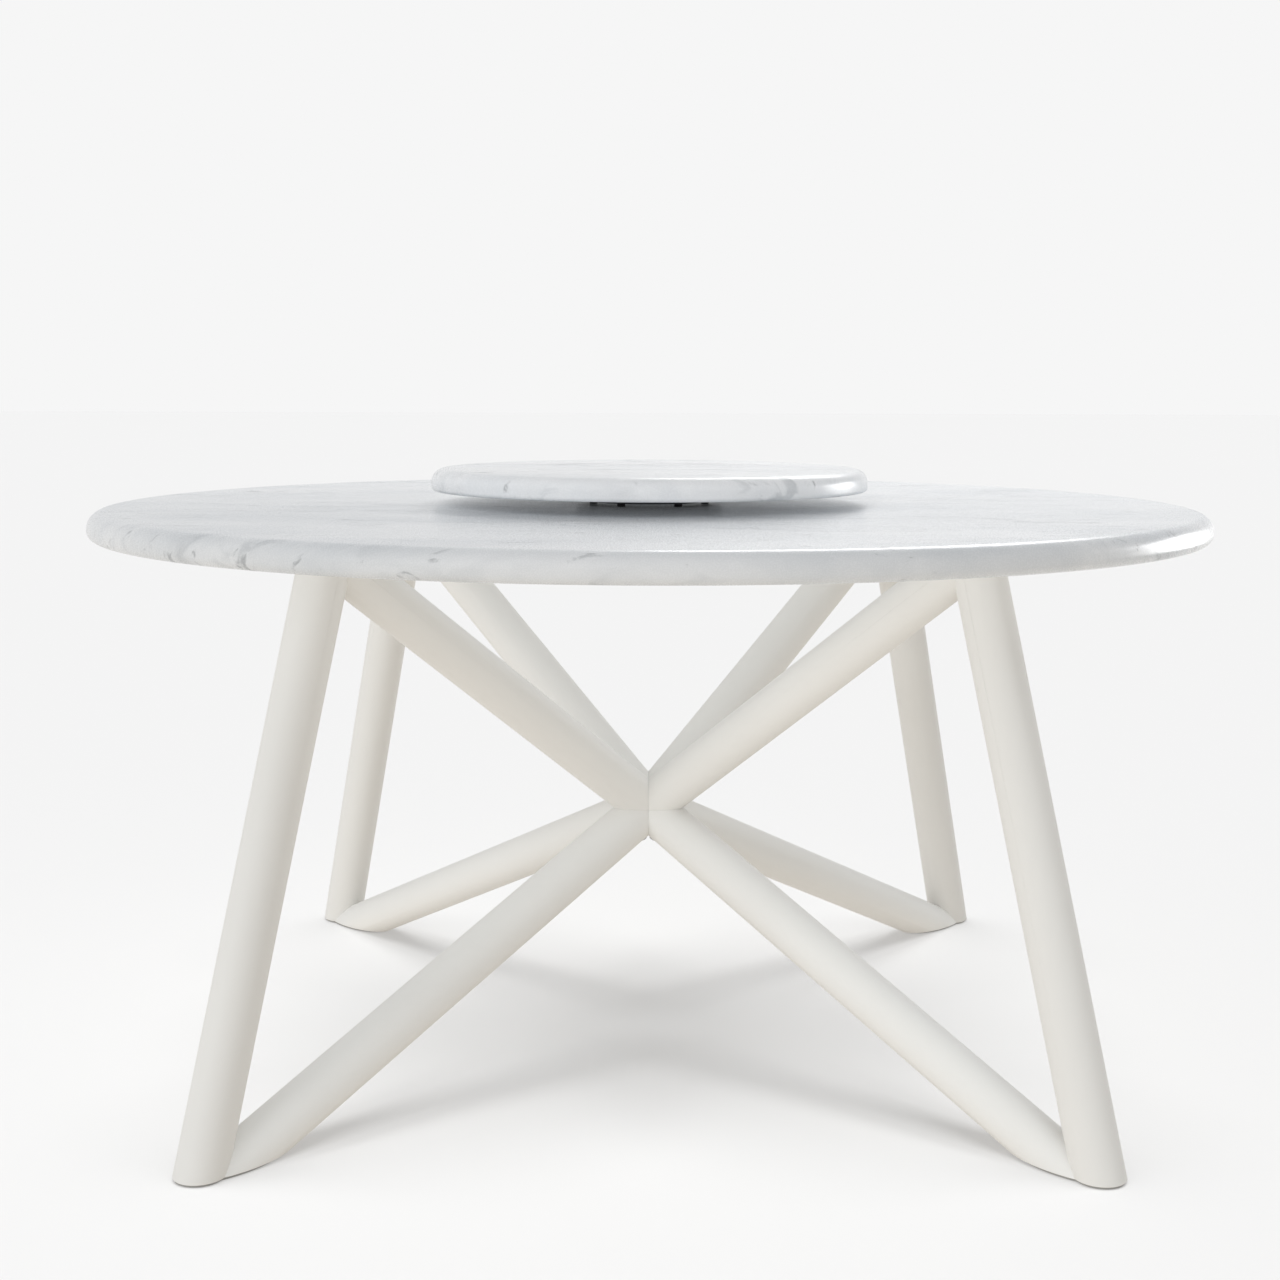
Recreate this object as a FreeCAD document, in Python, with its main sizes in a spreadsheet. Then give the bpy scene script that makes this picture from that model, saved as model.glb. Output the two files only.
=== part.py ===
import FreeCAD, Part
import os
import Sketcher

# Round outdoor dining table in millimetres: a stone top on four triangular tube frames that meet at
# a hub, with a stone turntable on a ball bearing in the middle of the top.
# +Z is up and the origin is on the floor under the middle of the top.
# One quarter of the base is worked out along +X and then turned about Z to each corner.

SIZES = [
    # Stone top
    ("top_diameter", 1524),
    ("table_height", 762),
    ("top_thickness", 35),
    ("top_edge_rounding", 22),
    ("under_edge_rounding", 11),
    # Tubes, and the three points of a frame where their axes cross; the insets are from the stone's rim
    ("tube_diameter", 63.5),
    ("tube_wall", 3),
    ("foot_inset", 5),
    ("foot_depth", 22),
    ("head_inset", 210),
    ("hub_height", 325.5),
    ("seam_gap", 0.6),
    ("end_overrun", 100),
    # Plates that close the tube ends, the pads on them and the soles under them
    ("plate_thickness", 5),
    ("weld_gap", 0.1),
    ("pad_thickness", 2),
    ("glide_height", 3),
    ("screw_diameter", 4),
    ("screw_head_diameter", 8),
    ("screw_spacing", 82),
    ("fit_clearance", 0.05),
    # Pins that keep the stone from sliding
    ("pin_diameter", 10),
    ("pin_engagement", 15),
    ("pin_clearance", 0.5),
    ("pin_hole_spare", 3),
    # Hub core and its bolts
    ("bolt_diameter", 8),
    ("bolt_clearance", 0.5),
    ("bolt_length", 50),
    ("bolt_head_diameter", 14),
    ("bolt_head_height", 4.4),
    ("bolt_socket_width", 5),
    ("bolt_distance", 30),
    # Turntable disc
    ("disc_diameter", 610),
    ("disc_thickness", 30),
    ("disc_edge_rounding", 18),
    ("disc_under_rounding", 5),
    # Turntable bearing
    ("rubber_foot_height", 4),
    ("rubber_foot_diameter", 11),
    ("ring_bore", 144),
    ("ring_width", 13),
    ("ring_height", 11.5),
    ("ring_offset", 2.5),
    ("race_gap", 4),
    ("race_clearance", 0.2),
    ("ball_diameter", 6),
    ("cage_thickness", 2),
    ("cage_height", 8),
    ("pocket_clearance", 0.2),
    ("bond_thickness", 2),
    ("bond_diameter", 11),
]

LENGTHS = {
    "head_radius": "sizes.top_diameter / 2 - sizes.head_inset",
    "foot_radius": "sizes.top_diameter / 2 - sizes.foot_inset",
    "underside": "sizes.table_height - sizes.top_thickness",
    "frame_top": "places.underside - sizes.pad_thickness",
    "bore_radius": "sizes.tube_diameter / 2 - sizes.tube_wall",
    "fill_radius": "places.bore_radius - sizes.weld_gap",
    "leg_length": "hypot(places.head_radius - places.foot_radius; places.underside + sizes.foot_depth)",
    "upper_length": "hypot(places.head_radius; places.underside - sizes.hub_height)",
    "lower_length": "hypot(places.foot_radius; sizes.hub_height + sizes.foot_depth)",
    "sole_radius": "places.foot_radius + sizes.foot_depth * tan(places.leg_lean)",
    "sole_inner_radius": "places.sole_radius - sizes.screw_spacing",
    "reach": "2 * (sizes.top_diameter + sizes.table_height)",
    "race_radius": "(sizes.ring_bore + sizes.race_gap) / 2 + sizes.ring_width",
    "inner_base": "sizes.table_height + sizes.rubber_foot_height",
    "outer_base": "places.inner_base + sizes.ring_offset",
    "race_height": "places.inner_base + (sizes.ring_height + sizes.ring_offset) / 2",
    "bond_base": "places.outer_base + sizes.ring_height",
    "disc_base": "places.bond_base + sizes.bond_thickness",
    "inner_middle": "(sizes.ring_bore + sizes.ring_width) / 2",
    "outer_middle": "places.race_radius + (sizes.race_gap + sizes.ring_width) / 2",
}

# Leans are turns about +Y, from +Z towards +X. A mitre plane halves the turn between two tubes.
ANGLES = {
    "leg_lean": "atan2(places.head_radius - places.foot_radius; places.underside + sizes.foot_depth)",
    "upper_lean": "atan2(places.head_radius; places.underside - sizes.hub_height)",
    "lower_lean": "atan2(places.foot_radius; -(sizes.hub_height + sizes.foot_depth))",
    "head_mitre": "(places.leg_lean + places.upper_lean) / 2",
    "foot_mitre": "(places.leg_lean + places.lower_lean - 180 deg) / 2",
    "hub_mitre": "(places.upper_lean + places.lower_lean) / 2",
    "bolt_lean": "places.lower_lean - 90 deg",
}

BALL_COUNT = 24
PAD_COUNT = 6

# Hub core arms, as shares of the tube's bore radius
ARM_HALF_WIDTH_SHARE = 0.42
ARM_HALF_HEIGHT_SHARE = 0.48
ARM_REACH_SHARE = 1.6
# Sole screws and bolt sockets, as shares of the sole's and the bolt head's height
SCREW_RECESS_SHARE = 0.15
SCREW_HEAD_SHARE = 0.7
SOCKET_DEPTH_SHARE = 0.6

Y_AXIS = FreeCAD.Vector(0, 1, 0)
Z_AXIS = FreeCAD.Vector(0, 0, 1)
QUARTER_TURN_DEGREES = 90
CORNER_TURN_DEGREES = 45
FULL_TURN_DEGREES = 360
# The corners, a quarter turn apart, in the order in which they come round from +X
CORNERS = ("rear_right", "rear_left", "front_left", "front_right")
CORNER_DEGREES = {
    corner: CORNER_TURN_DEGREES + number * QUARTER_TURN_DEGREES for number, corner in enumerate(CORNERS)
}
# Radius that a new sketch circle has before its size is bound
UNIT_RADIUS = 1

doc = FreeCAD.newDocument("dining_table")
sub_parts = []


def make_sheet():
    sheet = doc.addObject("Spreadsheet::Sheet", "sizes")
    for row, (alias, value) in enumerate(SIZES, start=1):
        sheet.set(f"A{row}", alias)
        sheet.set(f"B{row}", str(value))
        sheet.setAlias(f"B{row}", alias)
    doc.recompute()


def make_places():
    """Lengths and angles that follow from the sheet."""
    places = doc.addObject("App::VarSet", "places")
    for name in LENGTHS:
        places.addProperty("App::PropertyFloat", name)
    for name in ANGLES:
        places.addProperty("App::PropertyAngle", name)
    for name, text in {**LENGTHS, **ANGLES}.items():
        places.setExpression(name, text)
    doc.recompute()


def bind(thing, **texts):
    for name, text in texts.items():
        thing.setExpression(name, text)


def put(thing, x="0", y="0", z="0", axis=None, turn=None):
    """Bind a thing's place, and its turn about an axis if it has one."""
    if axis is not None:
        thing.Placement = FreeCAD.Placement(FreeCAD.Vector(), FreeCAD.Rotation(axis, QUARTER_TURN_DEGREES))
        thing.setExpression("Placement.Rotation.Angle", turn)
    for letter, text in (("x", x), ("y", y), ("z", z)):
        thing.setExpression(f"Placement.Base.{letter}", text)
    return thing


def box(name, length, width, height, **place):
    thing = doc.addObject("Part::Box", name)
    bind(thing, Length=length, Width=width, Height=height)
    return put(thing, **place)


def rod(name, radius, height, **place):
    thing = doc.addObject("Part::Cylinder", name)
    bind(thing, Radius=radius, Height=height)
    return put(thing, **place)


def boolean(kind, name, base, tool, corner_turn=0):
    """Cut, Common or Fuse two things, then turn the result about Z to its corner."""
    thing = doc.addObject(f"Part::{kind}", name)
    thing.Base = base
    thing.Tool = tool
    thing.Refine = True
    thing.Placement = FreeCAD.Placement(FreeCAD.Vector(), FreeCAD.Rotation(Z_AXIS, corner_turn))
    return thing


def group(name, things):
    thing = doc.addObject("Part::Compound", name)
    thing.Links = things
    return thing


def keep(thing):
    """Mark a thing as a piece of the table; its label names its file."""
    thing.Label = thing.Name
    sub_parts.append(thing)


def keep_corners(kind, name, base, tool):
    for corner, turn in CORNER_DEGREES.items():
        keep(boolean(kind, f"{name}_{corner}", base, tool, turn))


def half_space(name, x, z, turn, outer):
    """A large box on one side of a mitre plane through (x, z)."""
    along = "0" if outer else "-places.reach"
    across = "-places.reach / 2"
    return box(
        name, "places.reach", "places.reach", "places.reach",
        x=f"{x} + {along} * cos({turn}) + {across} * sin({turn})",
        y=across,
        z=f"{z} - {along} * sin({turn}) + {across} * cos({turn})",
        axis=Y_AXIS, turn=turn,
    )


def level_slab(name, low, high):
    """Everything between two heights."""
    return box(
        name, "places.reach", "places.reach", f"({high}) - ({low})",
        x="-places.reach / 2", y="-places.reach / 2", z=low,
    )


def tube_rod(name, radius, x, z, lean, length):
    """A cylinder along a tube's axis, run out past both of its ends."""
    return rod(
        name, radius, f"{length} + 2 * sizes.end_overrun",
        x=f"{x} - sizes.end_overrun * sin({lean})",
        z=f"{z} - sizes.end_overrun * cos({lean})",
        axis=Y_AXIS, turn=lean,
    )


def make_tube(name, x, z):
    """A hollow tube, and the rod that fills its bore."""
    line = (x, z, f"places.{name}_lean", f"places.{name}_length")
    outside = tube_rod(f"{name}_outside", "sizes.tube_diameter / 2", *line)
    bore = tube_rod(f"{name}_bore", "places.bore_radius", *line)
    fill = tube_rod(f"{name}_fill", "places.fill_radius", *line)
    return boolean("Cut", f"{name}_hollow", outside, bore), fill


def stone_disc(name, diameter, thickness, top_rounding, under_rounding, base_height):
    """A round slab with a larger rounding on its upper edge than on its lower one."""
    body = doc.addObject("PartDesign::Body", name)
    sketch = body.newObject("Sketcher::SketchObject", f"{name}_outline")
    plane = next(part for part in body.Origin.OriginFeatures if part.Role == "XY_Plane")
    sketch.AttachmentSupport = (plane, "")
    sketch.MapMode = "FlatFace"
    sketch.addGeometry(Part.Circle(FreeCAD.Vector(), Z_AXIS, UNIT_RADIUS))
    sketch.addConstraint(Sketcher.Constraint("Coincident", 0, 3, -1, 1))
    sketch.addConstraint(Sketcher.Constraint("Diameter", 0, 2 * UNIT_RADIUS))
    sketch.setExpression("Constraints[1]", diameter)
    pad = body.newObject("PartDesign::Pad", f"{name}_pad")
    pad.Profile = sketch
    pad.setExpression("Length", thickness)
    doc.recompute()
    upper = round_edge(body, f"{name}_upper_edge", pad, top_rounding, True)
    round_edge(body, f"{name}_lower_edge", upper, under_rounding, False)
    body.setExpression("Placement.Base.z", base_height)
    return body


def round_edge(body, name, feature, radius, upper):
    """Fillet the highest or the lowest edge of a feature."""
    heights = [edge.CenterOfMass.z for edge in feature.Shape.Edges]
    number = heights.index(max(heights) if upper else min(heights)) + 1
    fillet = body.newObject("PartDesign::Fillet", name)
    fillet.Base = (feature, [f"Edge{number}"])
    fillet.setExpression("Radius", radius)
    doc.recompute()
    return fillet


def corner_rods(name, radius, height, ring_radius, z):
    """One upright rod per corner of the table."""
    return [
        rod(
            f"{name}_{corner}", radius, height,
            x=f"{ring_radius} * cos({turn} deg)", y=f"{ring_radius} * sin({turn} deg)", z=z,
        )
        for corner, turn in CORNER_DEGREES.items()
    ]


def ring_rods(name, radius, height, ring_radius, z):
    """Small round pads in a circle about the table's axis."""
    step = FULL_TURN_DEGREES / PAD_COUNT
    return [
        rod(
            f"{name}_{index}", radius, height,
            x=f"{ring_radius} * cos({index * step} deg)", y=f"{ring_radius} * sin({index * step} deg)", z=z,
        )
        for index in range(PAD_COUNT)
    ]


def make_tabletop():
    slab = stone_disc(
        "tabletop_slab", "sizes.top_diameter", "sizes.top_thickness",
        "sizes.top_edge_rounding", "sizes.under_edge_rounding", "places.underside",
    )
    holes = corner_rods(
        "pin_hole", "sizes.pin_diameter / 2 + sizes.pin_clearance",
        "sizes.pin_engagement + sizes.pin_hole_spare + sizes.end_overrun", "places.head_radius",
        "places.underside - sizes.end_overrun",
    )
    keep(boolean("Cut", "tabletop", slab, group("pin_holes", holes)))
    pins = corner_rods(
        "pin", "sizes.pin_diameter / 2",
        "sizes.plate_thickness + sizes.pad_thickness + sizes.pin_engagement", "places.head_radius",
        "places.frame_top - sizes.plate_thickness",
    )
    keep(group("locating_pins", pins))


def make_zones():
    """The space that each tube of a frame may fill, between its mitre planes."""
    head = ("places.head_radius", "places.underside", "places.head_mitre")
    foot = ("places.foot_radius", "-sizes.foot_depth", "places.foot_mitre")
    hub = ("0", "sizes.hub_height", "places.hub_mitre")
    quarter = box(
        "quarter", "places.reach", "places.reach", "places.reach",
        x="sizes.seam_gap / sqrt(2)", z="-places.reach / 2",
        axis=Z_AXIS, turn=f"-{CORNER_TURN_DEGREES} deg",
    )
    leg_zone = boolean(
        "Common", "leg_zone", half_space("head_outer", *head, True), half_space("foot_outer", *foot, True)
    )
    upper_wedge = boolean(
        "Common", "upper_wedge", half_space("head_inner", *head, False), half_space("hub_upper", *hub, False)
    )
    lower_wedge = boolean(
        "Common", "lower_wedge", half_space("foot_inner", *foot, False), half_space("hub_lower", *hub, True)
    )
    return {
        "leg": leg_zone,
        "upper": boolean("Common", "upper_zone", upper_wedge, quarter),
        "lower": boolean("Common", "lower_zone", lower_wedge, quarter),
    }


def end_plate(name, fills, zones, kinds, low, high):
    """A plate with the outline of two mitred bores, between two heights."""
    slab = level_slab(f"{name}_slab", low, high)
    halves = []
    for kind in kinds:
        rest = boolean("Common", f"{name}_{kind}_zone", zones[kind], slab)
        halves.append(boolean("Common", f"{name}_{kind}_half", fills[kind], rest))
    return boolean("Fuse", f"{name}_blank", *halves)


def make_frames(zones):
    tubes = {
        "leg": make_tube("leg", "places.foot_radius", "-sizes.foot_depth"),
        "upper": make_tube("upper", "0", "sizes.hub_height"),
        "lower": make_tube("lower", "0", "sizes.hub_height"),
    }
    standing = level_slab("standing", "sizes.glide_height", "places.frame_top")
    spans = {
        kind: boolean("Common", f"{kind}_span", zone, standing)
        for kind, zone in zones.items()
    }
    keep_corners("Common", "leg", tubes["leg"][0], spans["leg"])
    keep_corners("Common", "upper_strut", tubes["upper"][0], spans["upper"])
    lower_blank = boolean("Common", "lower_blank", tubes["lower"][0], spans["lower"])
    keep_corners("Cut", "lower_strut", lower_blank, make_bolt_passage())
    return {kind: fill for kind, (hollow, fill) in tubes.items()}


def bolt_place(below):
    """A place on the bolt's line, a given way below the axis of the lower strut that it crosses."""
    lean = "places.lower_lean"
    turn = "places.bolt_lean"
    return {
        "x": f"sizes.bolt_distance * sin({lean}) - ({below}) * sin({turn})",
        "z": f"sizes.hub_height + sizes.bolt_distance * cos({lean}) - ({below}) * cos({turn})",
        "axis": Y_AXIS,
        "turn": turn,
    }


def bolt_rod(name, radius, height, below):
    return rod(name, radius, height, **bolt_place(below))


def make_bolt_passage():
    return bolt_rod(
        "bolt_passage", "sizes.bolt_diameter / 2 + sizes.bolt_clearance",
        "sizes.tube_diameter / 2 + sizes.end_overrun", "sizes.tube_diameter / 2 + sizes.end_overrun",
    )


def make_bolts():
    shank = bolt_rod("bolt_shank", "sizes.bolt_diameter / 2", "sizes.bolt_length", "sizes.tube_diameter / 2")
    head_below = "sizes.tube_diameter / 2 + sizes.bolt_head_height"
    head = bolt_rod("bolt_head", "sizes.bolt_head_diameter / 2", "sizes.bolt_head_height", head_below)
    blank = boolean("Fuse", "bolt_blank", shank, head)
    socket = doc.addObject("Part::Prism", "bolt_socket")
    socket.Polygon = 6
    bind(
        socket, Circumradius="sizes.bolt_socket_width / sqrt(3)",
        Height=f"sizes.end_overrun + {SOCKET_DEPTH_SHARE} * sizes.bolt_head_height",
    )
    put(socket, **bolt_place(f"{head_below} + sizes.end_overrun"))
    bolts = [
        boolean("Cut", f"hub_bolt_{corner}", blank, socket, turn)
        for corner, turn in CORNER_DEGREES.items()
    ]
    keep(group("hub_bolts", bolts))


def make_hub_core():
    """Cross of two bars inside the tubes, with an arm for each frame and a tapped hole in each arm."""
    reach = f"{ARM_REACH_SHARE} * places.bore_radius"
    half_width = f"{ARM_HALF_WIDTH_SHARE} * places.bore_radius"
    half_height = f"{ARM_HALF_HEIGHT_SHARE} * places.bore_radius"
    low = f"sizes.hub_height - {half_height}"
    bar_along = box(
        "bar_along", f"2 * {reach}", f"2 * {half_width}", f"2 * {half_height}",
        x=f"-{reach}", y=f"-{half_width}", z=low,
    )
    bar_across = box(
        "bar_across", f"2 * {half_width}", f"2 * {reach}", f"2 * {half_height}",
        x=f"-{half_width}", y=f"-{reach}", z=low,
    )
    cross = boolean("Fuse", "hub_cross", bar_along, bar_across, CORNER_TURN_DEGREES)
    hole_radius = "sizes.bolt_diameter / 2 + sizes.fit_clearance"
    start = "sizes.tube_diameter / 2"
    drill = bolt_rod("core_drill", hole_radius, "sizes.bolt_length + sizes.bolt_clearance", start)
    lead = bolt_rod("core_lead", hole_radius, start, start)
    drills = [
        boolean("Fuse", f"core_hole_{corner}", drill, lead, turn)
        for corner, turn in CORNER_DEGREES.items()
    ]
    keep(boolean("Cut", "hub_core", cross, group("core_holes", drills)))


def screw_shape(name, gap, ring_radius):
    """A countersunk sole screw, made larger by a gap where it is the tool for its hole."""
    recess = f"{SCREW_RECESS_SHARE} * sizes.glide_height"
    head_height = f"{SCREW_HEAD_SHARE} * sizes.glide_height"
    head = doc.addObject("Part::Cone", f"{name}_head")
    bind(
        head, Radius1=f"sizes.screw_head_diameter / 2 + {gap}",
        Radius2=f"sizes.screw_diameter / 2 + {gap}", Height=head_height,
    )
    put(head, x=ring_radius, z=recess)
    shank = rod(
        f"{name}_shank", f"sizes.screw_diameter / 2 + {gap}",
        f"sizes.glide_height + sizes.plate_thickness - {recess}", x=ring_radius, z=recess,
    )
    return head, shank


def make_feet(fills, zones):
    """Welded plate, nylon sole and two screws under each frame."""
    ring_radii = {"outer": "places.sole_radius", "inner": "places.sole_inner_radius"}
    plate = end_plate(
        "foot_plate", fills, zones, ("leg", "lower"),
        "sizes.glide_height", "sizes.glide_height + sizes.plate_thickness",
    )
    sole = end_plate("sole", fills, zones, ("leg", "lower"), "0", "sizes.glide_height")
    passages = []
    screws = []
    for place, ring_radius in ring_radii.items():
        head, shank = screw_shape(f"passage_{place}", "sizes.fit_clearance", ring_radius)
        mouth = rod(
            f"passage_{place}_mouth", "sizes.screw_head_diameter / 2 + sizes.fit_clearance",
            f"{SCREW_RECESS_SHARE} * sizes.glide_height", x=ring_radius,
        )
        bore = boolean("Fuse", f"bore_{place}", head, shank)
        passages.append(boolean("Fuse", f"passage_{place}", bore, mouth))
        head, shank = screw_shape(f"screw_{place}", "0", ring_radius)
        for corner, turn in CORNER_DEGREES.items():
            screws.append(boolean("Fuse", f"screw_{place}_{corner}", head, shank, turn))
    passage = boolean("Fuse", "screw_passages", *passages)
    keep_corners("Cut", "foot_plate", plate, passage)
    keep_corners("Cut", "foot_glide", sole, passage)
    keep(group("glide_screws", screws))


def make_heads(fills, zones):
    """Welded plate and silicone pad on top of each frame, with a hole for the stone's pin."""
    plate_low = "places.frame_top - sizes.plate_thickness"
    plate = end_plate("head_plate", fills, zones, ("leg", "upper"), plate_low, "places.frame_top")
    pad = end_plate("head_pad", fills, zones, ("leg", "upper"), "places.frame_top", "places.underside")
    plate_hole = rod(
        "plate_hole", "sizes.pin_diameter / 2 + sizes.fit_clearance", "sizes.plate_thickness",
        x="places.head_radius", z=plate_low,
    )
    pad_hole = rod(
        "pad_hole", "sizes.pin_diameter / 2 + sizes.pin_clearance", "sizes.pad_thickness",
        x="places.head_radius", z="places.frame_top",
    )
    keep_corners("Cut", "head_plate", plate, plate_hole)
    keep_corners("Cut", "stone_pad", pad, pad_hole)


def bearing_ring(name, bore_radius, z, groove):
    """A flat ring with a ball groove."""
    outside = rod(f"{name}_outside", f"{bore_radius} + sizes.ring_width", "sizes.ring_height", z=z)
    inside = rod(f"{name}_inside", bore_radius, "sizes.ring_height", z=z)
    return boolean("Cut", name, boolean("Cut", f"{name}_blank", outside, inside), groove)


def make_bearing():
    groove = doc.addObject("Part::Torus", "ball_groove")
    bind(groove, Radius1="places.race_radius", Radius2="sizes.ball_diameter / 2 + sizes.race_clearance")
    put(groove, z="places.race_height")
    keep(bearing_ring("bearing_inner_ring", "(sizes.ring_bore / 2)", "places.inner_base", groove))
    outer_bore = "(places.race_radius + sizes.race_gap / 2)"
    keep(bearing_ring("bearing_outer_ring", outer_bore, "places.outer_base", groove))
    balls = []
    pockets = []
    for index in range(BALL_COUNT):
        angle = index * FULL_TURN_DEGREES / BALL_COUNT
        ball = doc.addObject("Part::Sphere", f"ball_{index}")
        bind(ball, Radius="sizes.ball_diameter / 2")
        place = {
            "x": f"places.race_radius * cos({angle} deg)",
            "y": f"places.race_radius * sin({angle} deg)",
            "z": "places.race_height",
        }
        balls.append(put(ball, **place))
        pocket = rod(f"pocket_{index}", "sizes.ball_diameter / 2 + sizes.pocket_clearance", "sizes.ring_bore")
        lie_down = FreeCAD.Rotation(Y_AXIS, QUARTER_TURN_DEGREES)
        pocket.Placement = FreeCAD.Placement(FreeCAD.Vector(), FreeCAD.Rotation(Z_AXIS, angle) * lie_down)
        pocket.setExpression("Placement.Base.z", "places.race_height")
        pockets.append(pocket)
    keep(group("bearing_balls", balls))
    cage_low = "places.race_height - sizes.cage_height / 2"
    cage_outside = rod(
        "cage_outside", "places.race_radius + sizes.cage_thickness / 2", "sizes.cage_height", z=cage_low
    )
    cage_inside = rod(
        "cage_inside", "places.race_radius - sizes.cage_thickness / 2", "sizes.cage_height", z=cage_low
    )
    cage_blank = boolean("Cut", "cage_blank", cage_outside, cage_inside)
    keep(boolean("Cut", "bearing_cage", cage_blank, group("ball_pockets", pockets)))


def make_turntable():
    disc = stone_disc(
        "turntable_disc", "sizes.disc_diameter", "sizes.disc_thickness",
        "sizes.disc_edge_rounding", "sizes.disc_under_rounding", "places.disc_base",
    )
    keep(disc)
    make_bearing()
    bonds = ring_rods(
        "bond", "sizes.bond_diameter / 2", "sizes.bond_thickness", "places.outer_middle", "places.bond_base"
    )
    keep(group("disc_bond_pads", bonds))
    feet = ring_rods(
        "rubber_foot", "sizes.rubber_foot_diameter / 2", "sizes.rubber_foot_height",
        "places.inner_middle", "sizes.table_height",
    )
    keep(group("bearing_feet", feet))


def check_document():
    for thing in doc.Objects:
        if "Invalid" in thing.State or "Error" in thing.State:
            raise RuntimeError(f"{thing.Name} failed: {thing.State}")
    for thing in sub_parts:
        if thing.Shape.isNull() or not thing.Shape.isValid():
            raise RuntimeError(f"{thing.Name} has no valid shape")


def write_parts():
    os.makedirs("parts", exist_ok=True)
    for thing in sub_parts:
        solids = thing.Shape.Solids
        print(thing.Label, len(solids), round(thing.Shape.Volume))
        thing.Shape.exportStep(f"parts/{thing.Label}.step")


make_sheet()
make_places()
make_tabletop()
zones = make_zones()
fills = make_frames(zones)
make_hub_core()
make_bolts()
make_heads(fills, zones)
make_feet(fills, zones)
make_turntable()
doc.recompute()
check_document()
write_parts()
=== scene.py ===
"""Looks of a round stone dining table with a turntable, on a base of mitred tubes. Metres, +Z up."""
import math
import bpy
from mathutils import Matrix, Vector


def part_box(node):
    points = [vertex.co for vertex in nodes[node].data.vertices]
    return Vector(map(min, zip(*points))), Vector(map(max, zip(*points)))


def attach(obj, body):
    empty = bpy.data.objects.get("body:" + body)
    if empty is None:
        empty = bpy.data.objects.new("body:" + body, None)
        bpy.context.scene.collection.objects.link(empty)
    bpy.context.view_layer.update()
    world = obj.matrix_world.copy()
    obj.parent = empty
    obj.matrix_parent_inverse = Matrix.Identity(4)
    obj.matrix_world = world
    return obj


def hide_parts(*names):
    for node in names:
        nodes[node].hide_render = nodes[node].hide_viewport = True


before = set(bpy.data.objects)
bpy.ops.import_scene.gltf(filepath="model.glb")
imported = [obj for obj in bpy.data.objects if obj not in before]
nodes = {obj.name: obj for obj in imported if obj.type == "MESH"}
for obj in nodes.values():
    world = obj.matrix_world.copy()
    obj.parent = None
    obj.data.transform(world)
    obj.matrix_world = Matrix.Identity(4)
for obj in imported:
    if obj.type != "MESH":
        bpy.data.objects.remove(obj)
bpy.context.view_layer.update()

# Tubes of one frame, worked out along +X and turned to each corner
TUBE_RADIUS = 0.03175
FOOT_POINT = Vector((0.757, 0, -0.022))
HEAD_POINT = Vector((0.552, 0, 0.727))
HUB_POINT = Vector((0, 0, 0.3255))
SEAM_GAP = 0.0001
TUBE_OVERRUN = 0.1
TUBE_SIDES = 128
END_ROUNDING = 0.0008
END_ROUNDING_STEPS = 3
TUBE_SMOOTH_DEGREES = 12
ON_PLANE = 0.00002
CORNER_DEGREES = {"rear_right": 45, "rear_left": 135, "front_left": 225, "front_right": 315}
HALF_CORNER = math.radians(45)

# Stone slabs: roundings of the upper and the lower edge
STONE_SIDES = 288
TOP_ROUNDINGS = (0.022, 0.011)
DISC_ROUNDINGS = (0.018, 0.005)
UPPER_ROUNDING_STEPS = 14
UNDER_ROUNDING_STEPS = 8
STONE_SMOOTH_DEGREES = 30

# Marble: white and cloud tones of each slab, and its place and turn in the block
TOP_TONES = ((0.76, 0.78, 0.80, 1), (0.63, 0.66, 0.69, 1))
# The turntable's white and cloud tones are lighter than the top's: painted light that brightens its shaded
# edge
DISC_TONES_PAINTED_LIGHTER = ((0.89, 0.905, 0.92, 1), (0.78, 0.805, 0.83, 1))
STONE_VEIN = (0.40, 0.425, 0.45, 1)
STONE_FLECK = (0.25, 0.265, 0.28, 1)
TOP_BED = (1.3, 0.48, 0.92)
TOP_BED_DEGREES = 24
DISC_BED = (4.1, 1.52, 2.91)
DISC_BED_DEGREES = 63
BED_TILT = (0.35, 0.2)
BED_STRETCH = (0.8, 2.2, 1.4)
BED_DRIFT = 0.55
NOISE_MIDDLE = 0.5
VEIN_FADE_SCALE = 1.7
VEIN_FADE_SEED = 3.0
STONE_IOR = 1.5

# Camera, from the tube and rim outlines in the photograph
CAMERA_PLACE = Vector((-0.01756, -2.58766, 0.92678))
CAMERA_PITCH = 0.138
CAMERA_ROLL = 0.0029
CAMERA_YAW = -0.0019
CAMERA_SENSOR_MM = 36
CAMERA_LENS_MM = 51.56

# Studio and floor
BACKDROP_COLOR = (0.9216, 0.9216, 0.9216, 1)
STUDIO_COLOR = (1.0, 1.0, 1.0, 1)
STUDIO_LEVELS = (0.13, 0.56)
STUDIO_BRIGHT_SIDE = (-0.85, -0.25, -0.10)
FLOOR_SIZE = 120
FLOOR_SHADE = (0.50, 0.50, 0.50, 1)
FLOOR_GLOW = 0.335
FLOOR_BOUNCE = (0.36, 0.34, 0.31, 1)
FLOOR_BOUNCE_GLOW = 0.38
FLOOR_BOUNCE_COLOR = (1.0, 0.945, 0.87, 1)

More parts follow.
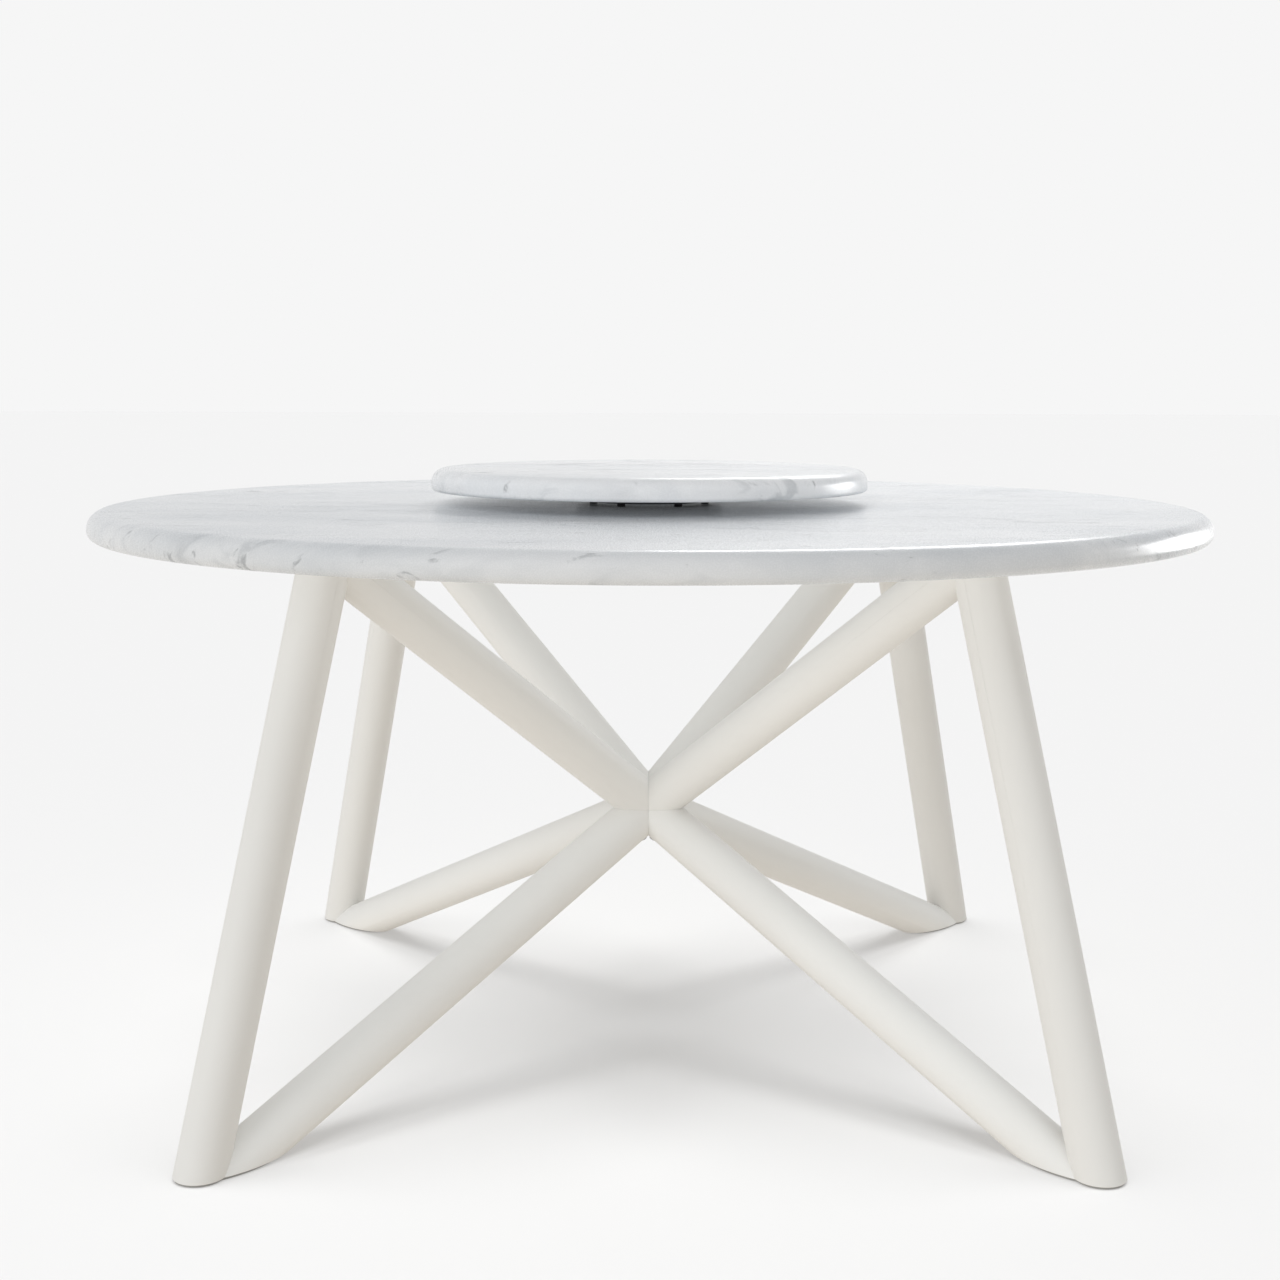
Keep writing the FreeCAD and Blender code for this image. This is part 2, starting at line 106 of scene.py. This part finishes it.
# Suns: the direction each comes from, its strength and its spread in degrees
SUNS = {
    "overhead_left": (Vector((-0.25, 0.03, 1)), 1.40, 30),
    "overhead_right": (Vector((0.25, 0.03, 1)), 1.40, 30),
    "tube_key": (Vector((-0.68, -0.66, 0.30)), 1.0, 48),
    "tube_fill": (Vector((0.34, -0.12, 0.93)), 1.05, 60),
    "back_fill": (Vector((0.50, 0.80, 0.33)), 0.5, 60),
    "strut_fill": (Vector((0.22, -0.91, 0.35)), 0.42, 40),
    "stone_fill": (Vector((-0.45, -0.72, 0.53)), 1.04, 50),
    "disc_fill": (Vector((-0.20, -0.97, 0.12)), 0.42, 40),
    "top_fill": (Vector((0, -0.30, 0.95)), 0.25, 60),
}
WHITE_LIGHT = (1.0, 1.0, 1.0)
TUBE_LIGHT = (0.91, 0.955, 1.0)

# Panels: the place of each, its size and its power in watts
PANELS = {
    "back_panel": (Vector((0.95, 2.6, 2.9)), (2.0, 1.2), 42),
    "side_panel": (Vector((3.0, 1.25, 1.0)), (1.5, 1.2), 45),
}
PANEL_TARGET = Vector((0, 0, 0.78))


# Meshes

def start_piece(name):
    """Name the primitive that was just added, and put its place into its mesh."""
    piece = bpy.context.object
    piece.name = name
    piece.data.name = name
    bpy.ops.object.transform_apply(location=True, rotation=True, scale=True)
    return piece


def select_edges(piece, test):
    """Select, in edit mode, the edges whose two ends pass a test."""
    bpy.ops.object.mode_set(mode="EDIT")
    bpy.ops.mesh.select_mode(type="EDGE")
    bpy.ops.mesh.select_all(action="DESELECT")
    bpy.ops.object.mode_set(mode="OBJECT")
    points = piece.data.vertices
    for edge in piece.data.edges:
        edge.select = all(test(points[number].co) for number in edge.vertices)
    bpy.ops.object.mode_set(mode="EDIT")


def round_edges(piece, test, radius, steps):
    select_edges(piece, test)
    bpy.ops.mesh.bevel(offset=radius, segments=steps, affect="EDGES", offset_type="OFFSET")
    bpy.ops.object.mode_set(mode="OBJECT")


def smooth(piece, degrees):
    bpy.ops.object.select_all(action="DESELECT")
    piece.select_set(True)
    bpy.context.view_layer.objects.active = piece
    bpy.ops.object.shade_smooth_by_angle(angle=math.radians(degrees))


def near_plane(point, normal):
    return lambda place: abs((place - point).dot(normal)) < ON_PLANE


def stone_slab(name, node, roundings):
    """A round slab turned to a node's size, its upper edge rounded more than its lower one."""
    low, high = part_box(node)
    radius = (high.x - low.x) / 2
    bpy.ops.object.select_all(action="DESELECT")
    bpy.ops.mesh.primitive_cylinder_add(
        vertices=STONE_SIDES, radius=radius, depth=high.z - low.z, location=(0, 0, (low.z + high.z) / 2)
    )
    slab = start_piece(name)
    upper, under = roundings
    round_edges(slab, lambda point: abs(point.z - high.z) < ON_PLANE, upper, UPPER_ROUNDING_STEPS)
    round_edges(slab, lambda point: abs(point.z - low.z) < ON_PLANE, under, UNDER_ROUNDING_STEPS)
    smooth(slab, STONE_SMOOTH_DEGREES)
    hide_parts(node)
    return slab


def half_turn(first, second):
    """Normal of the plane that halves the turn between two directions, towards the first."""
    return (first.normalized() - second.normalized()).normalized()


def trim(piece, point, outward):
    """Cut away what lies beyond a plane and close the cut."""
    bpy.ops.object.mode_set(mode="EDIT")
    bpy.ops.mesh.select_all(action="SELECT")
    bpy.ops.mesh.bisect(plane_co=point, plane_no=outward, use_fill=True, clear_outer=True)
    bpy.ops.object.mode_set(mode="OBJECT")


def tube(name, start, end, mitres, levels):
    """A tube between two points, mitred sharp where it meets others and eased at its flat ends."""
    along = end - start
    bpy.ops.object.select_all(action="DESELECT")
    bpy.ops.mesh.primitive_cylinder_add(
        vertices=TUBE_SIDES, radius=TUBE_RADIUS, depth=along.length + 2 * TUBE_OVERRUN,
        location=(start + end) / 2, rotation=along.to_track_quat("Z", "Y").to_euler(),
    )
    piece = start_piece(name)
    for point, outward in mitres + levels:
        trim(piece, point, outward)
    for point, outward in levels:
        round_edges(piece, near_plane(point, outward), END_ROUNDING, END_ROUNDING_STEPS)
    return piece


def copy_to_corners(piece, node_name):
    """One copy of a frame's tube at each corner, each with its own mesh."""
    copies = []
    for corner, degrees in CORNER_DEGREES.items():
        copy = bpy.data.objects.new(f"{node_name}_{corner}_tube", piece.data.copy())
        bpy.context.scene.collection.objects.link(copy)
        copy.data.transform(Matrix.Rotation(math.radians(degrees), 4, "Z"))
        smooth(copy, TUBE_SMOOTH_DEGREES)
        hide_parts(f"{node_name}_{corner}")
        copies.append(copy)
    bpy.data.objects.remove(piece)
    return copies


def make_tubes():
    """Legs and struts of the four frames, mitred to each other and cut flat at the floor and the stone."""
    low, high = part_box("leg_front_left")
    floor_cut = (Vector((0, 0, low.z)), Vector((0, 0, -1)))
    stone_cut = (Vector((0, 0, high.z)), Vector((0, 0, 1)))
    leg_up = HEAD_POINT - FOOT_POINT
    upper_out = HEAD_POINT - HUB_POINT
    lower_out = FOOT_POINT - HUB_POINT
    head_normal = half_turn(leg_up, upper_out)
    foot_normal = half_turn(-leg_up, lower_out)
    hub_normal = half_turn(lower_out, upper_out)
    seam_point = Vector((SEAM_GAP / math.sqrt(2), 0, 0))
    seams = [
        (seam_point, Vector((-math.sin(HALF_CORNER), math.cos(HALF_CORNER), 0))),
        (seam_point, Vector((-math.sin(HALF_CORNER), -math.cos(HALF_CORNER), 0))),
    ]
    leg = tube(
        "leg_blank", FOOT_POINT, HEAD_POINT,
        [(HEAD_POINT, head_normal), (FOOT_POINT, foot_normal)], [floor_cut, stone_cut],
    )
    upper = tube(
        "upper_blank", HUB_POINT, HEAD_POINT,
        [(HEAD_POINT, -head_normal), (HUB_POINT, hub_normal)] + seams, [stone_cut],
    )
    lower = tube(
        "lower_blank", HUB_POINT, FOOT_POINT,
        [(FOOT_POINT, -foot_normal), (HUB_POINT, -hub_normal)] + seams, [floor_cut],
    )
    return (
        copy_to_corners(leg, "leg")
        + copy_to_corners(upper, "upper_strut")
        + copy_to_corners(lower, "lower_strut")
    )


# Materials

def put_node(tree, kind, settings=None, **inputs):
    """Add a node with its settings, and its inputs by name, written with _ for a space."""
    node = tree.nodes.new(kind)
    for name, value in (settings or {}).items():
        setattr(node, name, value)
    for name, value in inputs.items():
        node.inputs[name.replace("_", " ")].default_value = value
    return node


def new_material(name):
    material = bpy.data.materials.new(name)
    material.use_nodes = True
    return material, material.node_tree, material.node_tree.nodes["Principled BSDF"]


def new_group(name, colors, values, vectors=()):
    """A node group with the given inputs, which puts out a colour, a roughness and a height."""
    group = bpy.data.node_groups.new(name, "ShaderNodeTree")
    face = group.interface
    for socket in vectors:
        face.new_socket(socket, in_out="INPUT", socket_type="NodeSocketVector")
    for socket in colors:
        face.new_socket(socket, in_out="INPUT", socket_type="NodeSocketColor")
    for socket in values:
        face.new_socket(socket, in_out="INPUT", socket_type="NodeSocketFloat")
    face.new_socket("Color", in_out="OUTPUT", socket_type="NodeSocketColor")
    face.new_socket("Roughness", in_out="OUTPUT", socket_type="NodeSocketFloat")
    face.new_socket("Height", in_out="OUTPUT", socket_type="NodeSocketFloat")
    return group, group.nodes.new("NodeGroupInput"), group.nodes.new("NodeGroupOutput")


def join_skin(tree, pattern, bump, shader):
    """Join a group's colour, roughness and height, by way of a bump, to a material's shader."""
    link = tree.links.new
    link(pattern.outputs["Color"], shader.inputs["Base Color"])
    link(pattern.outputs["Roughness"], shader.inputs["Roughness"])
    link(pattern.outputs["Height"], bump.inputs["Height"])
    link(bump.outputs["Normal"], shader.inputs["Normal"])


def fine_grain_group():
    """Small unevenness of a coated or moulded skin: a tone, a gloss and a height that vary over it."""
    group, entry, leave = new_group(
        "fine_grain", ("Color", "Shaded Color"), ("Patch Scale", "Grain Scale", "Gloss Low", "Gloss High")
    )
    place = put_node(group, "ShaderNodeTexCoord")
    patches = put_node(group, "ShaderNodeTexNoise", Detail=4.0, Roughness=0.6)
    grain = put_node(group, "ShaderNodeTexNoise", Detail=2.0, Roughness=0.5)
    tint = put_node(group, "ShaderNodeMix", {"data_type": "RGBA"})
    gloss = put_node(group, "ShaderNodeMapRange")
    link = group.links.new
    link(place.outputs["Object"], patches.inputs["Vector"])
    link(place.outputs["Object"], grain.inputs["Vector"])
    link(entry.outputs["Patch Scale"], patches.inputs["Scale"])
    link(entry.outputs["Grain Scale"], grain.inputs["Scale"])
    link(patches.outputs["Fac"], tint.inputs["Factor"])
    link(entry.outputs["Color"], tint.inputs["A"])
    link(entry.outputs["Shaded Color"], tint.inputs["B"])
    link(patches.outputs["Fac"], gloss.inputs["Value"])
    link(entry.outputs["Gloss Low"], gloss.inputs["To Min"])
    link(entry.outputs["Gloss High"], gloss.inputs["To Max"])
    link(tint.outputs["Result"], leave.inputs["Color"])
    link(gloss.outputs["Result"], leave.inputs["Roughness"])
    link(grain.outputs["Fac"], leave.inputs["Height"])
    return group


def grained_material(name, grain_group, color, shaded, gloss, scales, bump, metallic=0.0, specular=0.5):
    """A grained skin: two tones, a gloss range, patch and grain scales, and a bump's strength and depth."""
    material, tree, shader = new_material(name)
    grain = put_node(
        tree, "ShaderNodeGroup", {"node_tree": grain_group},
        Color=color, Shaded_Color=shaded, Gloss_Low=gloss[0], Gloss_High=gloss[1],
        Patch_Scale=scales[0], Grain_Scale=scales[1],
    )
    skin = put_node(tree, "ShaderNodeBump", Strength=bump[0], Distance=bump[1])
    shader.inputs["Metallic"].default_value = metallic
    shader.inputs["Specular IOR Level"].default_value = specular
    join_skin(tree, grain, skin, shader)
    return material


def vein_mask(tree, bent, scale, width, strength, seed):
    """Thin wandering lines where a noise crosses its middle value, faded in and out by another noise."""
    link = tree.links.new
    lines = put_node(
        tree, "ShaderNodeTexNoise", {"noise_dimensions": "4D"},
        W=seed, Scale=scale, Detail=5.0, Roughness=0.55, Distortion=0.6,
    )
    patches = put_node(
        tree, "ShaderNodeTexNoise", {"noise_dimensions": "4D"},
        W=seed + VEIN_FADE_SEED, Scale=scale * VEIN_FADE_SCALE, Detail=3.0, Roughness=0.6,
    )
    centred = put_node(tree, "ShaderNodeMath", {"operation": "SUBTRACT"})
    centred.inputs[1].default_value = NOISE_MIDDLE
    apart = put_node(tree, "ShaderNodeMath", {"operation": "ABSOLUTE"})
    line = put_node(
        tree, "ShaderNodeMapRange", {"interpolation_type": "SMOOTHSTEP"},
        From_Max=width, To_Min=1.0, To_Max=0.0,
    )
    fade = put_node(
        tree, "ShaderNodeMapRange", {"interpolation_type": "SMOOTHSTEP"},
        From_Min=0.45, From_Max=0.68, To_Max=strength,
    )
    both = put_node(tree, "ShaderNodeMath", {"operation": "MULTIPLY"})
    link(bent, lines.inputs["Vector"])
    link(bent, patches.inputs["Vector"])
    link(lines.outputs["Fac"], centred.inputs[0])
    link(centred.outputs[0], apart.inputs[0])
    link(apart.outputs[0], line.inputs["Value"])
    link(patches.outputs["Fac"], fade.inputs["Value"])
    link(line.outputs["Result"], both.inputs[0])
    link(fade.outputs["Result"], both.inputs[1])
    return both.outputs[0]


def laid_over(tree, mask, under, over):
    """Lay a colour over another where a mask says."""
    mix = put_node(tree, "ShaderNodeMix", {"data_type": "RGBA"})
    tree.links.new(mask, mix.inputs["Factor"])
    tree.links.new(under, mix.inputs["A"])
    tree.links.new(over, mix.inputs["B"])
    return mix.outputs["Result"]


def marble_group():
    """White marble: soft clouds drawn out along the bed, thin grey veins, a few dark flecks, a waxed skin."""
    group, entry, leave = new_group("marble", ("White", "Cloud", "Vein", "Fleck"), (), ("Bed",))
    link = group.links.new

    drift = put_node(group, "ShaderNodeTexNoise", Scale=1.9, Detail=5.0, Roughness=0.55)
    centred = put_node(group, "ShaderNodeVectorMath", {"operation": "SUBTRACT"})
    centred.inputs[1].default_value = (NOISE_MIDDLE, NOISE_MIDDLE, NOISE_MIDDLE)
    spread = put_node(group, "ShaderNodeVectorMath", {"operation": "SCALE"}, Scale=BED_DRIFT)
    warped = put_node(group, "ShaderNodeVectorMath", {"operation": "ADD"})
    link(entry.outputs["Bed"], drift.inputs["Vector"])
    link(drift.outputs["Color"], centred.inputs[0])
    link(centred.outputs[0], spread.inputs[0])
    link(entry.outputs["Bed"], warped.inputs[0])
    link(spread.outputs[0], warped.inputs[1])
    bent = warped.outputs[0]

    clouds = put_node(group, "ShaderNodeTexNoise", Scale=2.6, Detail=9.0, Roughness=0.62)
    cloud_mask = put_node(
        group, "ShaderNodeMapRange", From_Min=0.36, From_Max=0.58, To_Min=1.0, To_Max=0.0
    )
    link(bent, clouds.inputs["Vector"])
    link(clouds.outputs["Fac"], cloud_mask.inputs["Value"])
    flecks = put_node(group, "ShaderNodeTexNoise", Scale=21.0, Detail=4.0, Roughness=0.6)
    fleck_mask = put_node(
        group, "ShaderNodeMapRange", {"interpolation_type": "SMOOTHSTEP"},
        From_Min=0.61, From_Max=0.72, To_Max=0.60,
    )
    link(bent, flecks.inputs["Vector"])
    link(flecks.outputs["Fac"], fleck_mask.inputs["Value"])
    wide_veins = vein_mask(group, bent, scale=1.3, width=0.030, strength=0.42, seed=1.3)
    fine_veins = vein_mask(group, bent, scale=3.6, width=0.034, strength=0.50, seed=8.3)
    color = laid_over(group, cloud_mask.outputs["Result"], entry.outputs["White"], entry.outputs["Cloud"])
    color = laid_over(group, wide_veins, color, entry.outputs["Vein"])
    color = laid_over(group, fine_veins, color, entry.outputs["Vein"])
    color = laid_over(group, fleck_mask.outputs["Result"], color, entry.outputs["Fleck"])

    place = put_node(group, "ShaderNodeTexCoord")
    crystals = put_node(group, "ShaderNodeTexVoronoi", Scale=700.0)
    sparkle = put_node(group, "ShaderNodeMapRange", To_Min=0.24, To_Max=0.30)
    waves = put_node(group, "ShaderNodeTexNoise", Scale=18.0, Detail=2.0)
    link(place.outputs["Object"], crystals.inputs["Vector"])
    link(crystals.outputs["Distance"], sparkle.inputs["Value"])
    link(place.outputs["Object"], waves.inputs["Vector"])
    link(color, leave.inputs["Color"])
    link(sparkle.outputs["Result"], leave.inputs["Roughness"])
    link(waves.outputs["Fac"], leave.inputs["Height"])
    return group


def marble_material(name, pattern, tones, bed_place, bed_turn_degrees):
    """Polished marble with its own tones and its own place in the block."""
    material, tree, shader = new_material(name)
    white, cloud = tones
    place = put_node(tree, "ShaderNodeTexCoord")
    bed = put_node(
        tree, "ShaderNodeMapping",
        Location=bed_place, Rotation=(*BED_TILT, math.radians(bed_turn_degrees)), Scale=BED_STRETCH,
    )
    marble = put_node(
        tree, "ShaderNodeGroup", {"node_tree": pattern},
        White=white, Cloud=cloud, Vein=STONE_VEIN, Fleck=STONE_FLECK,
    )
    polish = put_node(tree, "ShaderNodeBump", Strength=0.05, Distance=0.0006)
    tree.links.new(place.outputs["Object"], bed.inputs["Vector"])
    tree.links.new(bed.outputs["Vector"], marble.inputs["Bed"])
    join_skin(tree, marble, polish, shader)
    shader.inputs["IOR"].default_value = STONE_IOR
    return material


def dress(things, material):
    for thing in things:
        thing.data.materials.clear()
        thing.data.materials.append(material)


def four(name):
    return [nodes[f"{name}_{corner}"] for corner in CORNER_DEGREES]


# Pieces

top_slab = stone_slab("tabletop_stone", "tabletop", TOP_ROUNDINGS)
disc_slab = stone_slab("turntable_stone", "turntable_disc", DISC_ROUNDINGS)
tubes = make_tubes()

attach(top_slab, "base")
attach(disc_slab, "turntable")
for piece in tubes:
    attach(piece, "base")

grain = fine_grain_group()
paint = grained_material(
    "satin_powder_coat", grain, color=(0.84, 0.83, 0.80, 1), shaded=(0.81, 0.795, 0.765, 1),
    gloss=(0.52, 0.62), scales=(5.0, 620.0), bump=(0.10, 0.0004), specular=0.4,
)
bare_alloy = grained_material(
    "milled_alloy", grain, color=(0.66, 0.66, 0.66, 1), shaded=(0.56, 0.56, 0.565, 1),
    gloss=(0.30, 0.46), scales=(30.0, 1500.0), bump=(0.15, 0.0002), metallic=1.0,
)
dark_alloy = grained_material(
    "black_anodised_alloy", grain, color=(0.15, 0.15, 0.155, 1), shaded=(0.12, 0.12, 0.125, 1),
    gloss=(0.46, 0.60), scales=(40.0, 1800.0), bump=(0.12, 0.0002), specular=0.3,
)
steel = grained_material(
    "plain_steel", grain, color=(0.60, 0.60, 0.59, 1), shaded=(0.48, 0.48, 0.475, 1),
    gloss=(0.22, 0.36), scales=(60.0, 1600.0), bump=(0.10, 0.0002), metallic=1.0,
)
ball_steel = grained_material(
    "polished_steel", grain, color=(0.74, 0.74, 0.75, 1), shaded=(0.68, 0.68, 0.69, 1),
    gloss=(0.06, 0.12), scales=(90.0, 2500.0), bump=(0.02, 0.0001), metallic=1.0,
)
silicone = grained_material(
    "grey_silicone", grain, color=(0.62, 0.62, 0.61, 1), shaded=(0.55, 0.55, 0.54, 1),
    gloss=(0.42, 0.56), scales=(25.0, 700.0), bump=(0.10, 0.0003),
)
nylon = grained_material(
    "black_nylon", grain, color=(0.11, 0.11, 0.11, 1), shaded=(0.09, 0.09, 0.09, 1),
    gloss=(0.46, 0.62), scales=(30.0, 900.0), bump=(0.20, 0.0003),
)
sole_nylon = grained_material(
    "grey_nylon", grain, color=(0.40, 0.40, 0.39, 1), shaded=(0.35, 0.35, 0.34, 1),
    gloss=(0.46, 0.62), scales=(30.0, 900.0), bump=(0.20, 0.0003),
)
rubber = grained_material(
    "black_rubber", grain, color=(0.085, 0.085, 0.085, 1), shaded=(0.07, 0.07, 0.07, 1),
    gloss=(0.66, 0.82), scales=(35.0, 1100.0), bump=(0.25, 0.0003),
)
marble = marble_group()
top_marble = marble_material("top_marble", marble, TOP_TONES, TOP_BED, TOP_BED_DEGREES)
disc_marble = marble_material("disc_marble", marble, DISC_TONES_PAINTED_LIGHTER, DISC_BED, DISC_BED_DEGREES)

dress([top_slab, nodes["tabletop"]], top_marble)
dress([disc_slab, nodes["turntable_disc"]], disc_marble)
dress(tubes + four("leg") + four("upper_strut") + four("lower_strut"), paint)
dress(four("head_plate") + four("foot_plate"), paint)
dress(four("stone_pad") + [nodes["disc_bond_pads"]], silicone)
dress(four("foot_glide"), sole_nylon)
dress([nodes["bearing_cage"]], nylon)
dress([nodes["bearing_feet"]], rubber)
dress([nodes["hub_core"]], bare_alloy)
dress([nodes["bearing_inner_ring"], nodes["bearing_outer_ring"]], dark_alloy)
dress([nodes["locating_pins"], nodes["hub_bolts"], nodes["glide_screws"]], steel)
dress([nodes["bearing_balls"]], ball_steel)


# Stage

def make_world():
    """Soft studio light, brighter from the left; the camera and polished faces see the pale backdrop."""
    world = bpy.data.worlds.new("studio")
    bpy.context.scene.world = world
    world.use_nodes = True
    tree = world.node_tree
    link = tree.links.new
    light = tree.nodes["Background"]
    light.inputs["Color"].default_value = STUDIO_COLOR
    direction = put_node(tree, "ShaderNodeTexCoord")
    side = put_node(tree, "ShaderNodeVectorMath", {"operation": "DOT_PRODUCT"})
    side.inputs[1].default_value = STUDIO_BRIGHT_SIDE
    level = put_node(
        tree, "ShaderNodeMapRange", From_Min=-1.0, To_Min=STUDIO_LEVELS[0], To_Max=STUDIO_LEVELS[1]
    )
    backdrop = put_node(tree, "ShaderNodeBackground", Color=BACKDROP_COLOR)
    path = put_node(tree, "ShaderNodeLightPath")
    seen = put_node(tree, "ShaderNodeMath", {"operation": "MAXIMUM"})
    seen_all = put_node(tree, "ShaderNodeMath", {"operation": "MAXIMUM"})
    choose = put_node(tree, "ShaderNodeMixShader")
    link(direction.outputs["Generated"], side.inputs[0])
    link(side.outputs["Value"], level.inputs["Value"])
    link(level.outputs["Result"], light.inputs["Strength"])
    link(path.outputs["Is Camera Ray"], seen.inputs[0])
    link(path.outputs["Is Glossy Ray"], seen.inputs[1])
    link(seen.outputs[0], seen_all.inputs[0])
    link(path.outputs["Is Transmission Ray"], seen_all.inputs[1])
    link(seen_all.outputs[0], choose.inputs["Fac"])
    link(light.outputs[0], choose.inputs[1])
    link(backdrop.outputs[0], choose.inputs[2])
    link(choose.outputs[0], tree.nodes["World Output"].inputs["Surface"])


def make_floor():
    """Pale floor that meets the backdrop without a line and takes the table's shadow."""
    bpy.ops.object.select_all(action="DESELECT")
    bpy.ops.mesh.primitive_plane_add(size=FLOOR_SIZE)
    floor = bpy.context.object
    floor.name = "studio_floor"
    material, tree, shader = new_material("studio_floor")
    link = tree.links.new
    tree.nodes.remove(shader)
    path = put_node(tree, "ShaderNodeLightPath")
    shade = put_node(tree, "ShaderNodeBsdfDiffuse", Color=FLOOR_SHADE)
    glow = put_node(tree, "ShaderNodeEmission", Color=BACKDROP_COLOR, Strength=FLOOR_GLOW)
    seen = put_node(tree, "ShaderNodeAddShader")
    bounce_shade = put_node(tree, "ShaderNodeBsdfDiffuse", Color=FLOOR_BOUNCE)
    bounce_glow = put_node(
        tree, "ShaderNodeEmission", Color=FLOOR_BOUNCE_COLOR, Strength=FLOOR_BOUNCE_GLOW
    )
    bounce = put_node(tree, "ShaderNodeAddShader")
    looked_at = put_node(tree, "ShaderNodeMath", {"operation": "MAXIMUM"})
    choose = put_node(tree, "ShaderNodeMixShader")
    link(shade.outputs[0], seen.inputs[0])
    link(glow.outputs[0], seen.inputs[1])
    link(bounce_shade.outputs[0], bounce.inputs[0])
    link(bounce_glow.outputs[0], bounce.inputs[1])
    link(path.outputs["Is Camera Ray"], looked_at.inputs[0])
    link(path.outputs["Is Glossy Ray"], looked_at.inputs[1])
    link(looked_at.outputs[0], choose.inputs["Fac"])
    link(bounce.outputs[0], choose.inputs[1])
    link(seen.outputs[0], choose.inputs[2])
    link(choose.outputs[0], tree.nodes["Material Output"].inputs["Surface"])
    floor.data.materials.append(material)
    return floor


def add_lamp(name, kind, place, target):
    lamp = bpy.data.objects.new(name, bpy.data.lights.new(name, kind))
    bpy.context.scene.collection.objects.link(lamp)
    lamp.location = place
    lamp.rotation_euler = (target - place).to_track_quat("-Z", "Y").to_euler()
    lamp.visible_camera = False
    return lamp


def add_sun(name, receivers, blockers=None, color=WHITE_LIGHT):
    """A soft sun for some pieces, shaded by some pieces or, where none are given, by all."""
    place, strength, spread_degrees = SUNS[name]
    sun = add_lamp(name, "SUN", place, Vector())
    sun.data.energy = strength
    sun.data.angle = math.radians(spread_degrees)
    sun.data.color = color
    sun.visible_glossy = False
    sun.light_linking.receiver_collection = receivers
    sun.light_linking.blocker_collection = blockers


def add_panel(name, receivers):
    """A soft panel for some pieces, which polished stone reflects."""
    place, size, watts = PANELS[name]
    panel = add_lamp(name, "AREA", place, PANEL_TARGET)
    panel.data.shape = "RECTANGLE"
    panel.data.size, panel.data.size_y = size
    panel.data.energy = watts
    panel.light_linking.receiver_collection = receivers


def collect(name, things):
    collection = bpy.data.collections.new(name)
    for thing in things:
        collection.objects.link(thing)
    return collection


def make_lamps(studio_floor):
    """Soft lamps for the floor, which keeps the base's shadow, for the tubes and for the stone."""
    floor = collect("floor_light", [studio_floor])
    shading = collect("floor_shading", tubes + [disc_slab])
    base = collect("base_light", tubes)
    struts = collect("strut_light", [piece for piece in tubes if "strut" in piece.name])
    stone = collect("stone_light", list(nodes.values()) + [top_slab, disc_slab])
    disc = collect("disc_light", [disc_slab])
    top = collect("top_light", [top_slab])
    for name in ("overhead_left", "overhead_right"):
        add_sun(name, floor, shading)
    for name in ("tube_key", "tube_fill", "back_fill"):
        add_sun(name, base, base, TUBE_LIGHT)
    add_sun("strut_fill", struts, color=TUBE_LIGHT)
    add_sun("stone_fill", stone)
    for name in PANELS:
        add_panel(name, stone)
    add_sun("disc_fill", disc)
    # The floor shades nothing from above, so this one also reaches the stone under the turntable
    add_sun("top_fill", top, floor)


def make_camera():
    data = bpy.data.cameras.new("camera")
    data.sensor_width = CAMERA_SENSOR_MM
    data.lens = CAMERA_LENS_MM
    camera = bpy.data.objects.new("camera", data)
    bpy.context.scene.collection.objects.link(camera)
    heading = Matrix.Rotation(CAMERA_YAW, 4, "Z")
    tilt = Matrix.Rotation(math.pi / 2 - CAMERA_PITCH, 4, "X")
    roll = Matrix.Rotation(CAMERA_ROLL, 4, "Z")
    camera.matrix_world = Matrix.Translation(CAMERA_PLACE) @ heading @ tilt @ roll
    bpy.context.scene.camera = camera


make_world()
make_lamps(make_floor())
make_camera()
bpy.context.scene.view_settings.view_transform = "Standard"
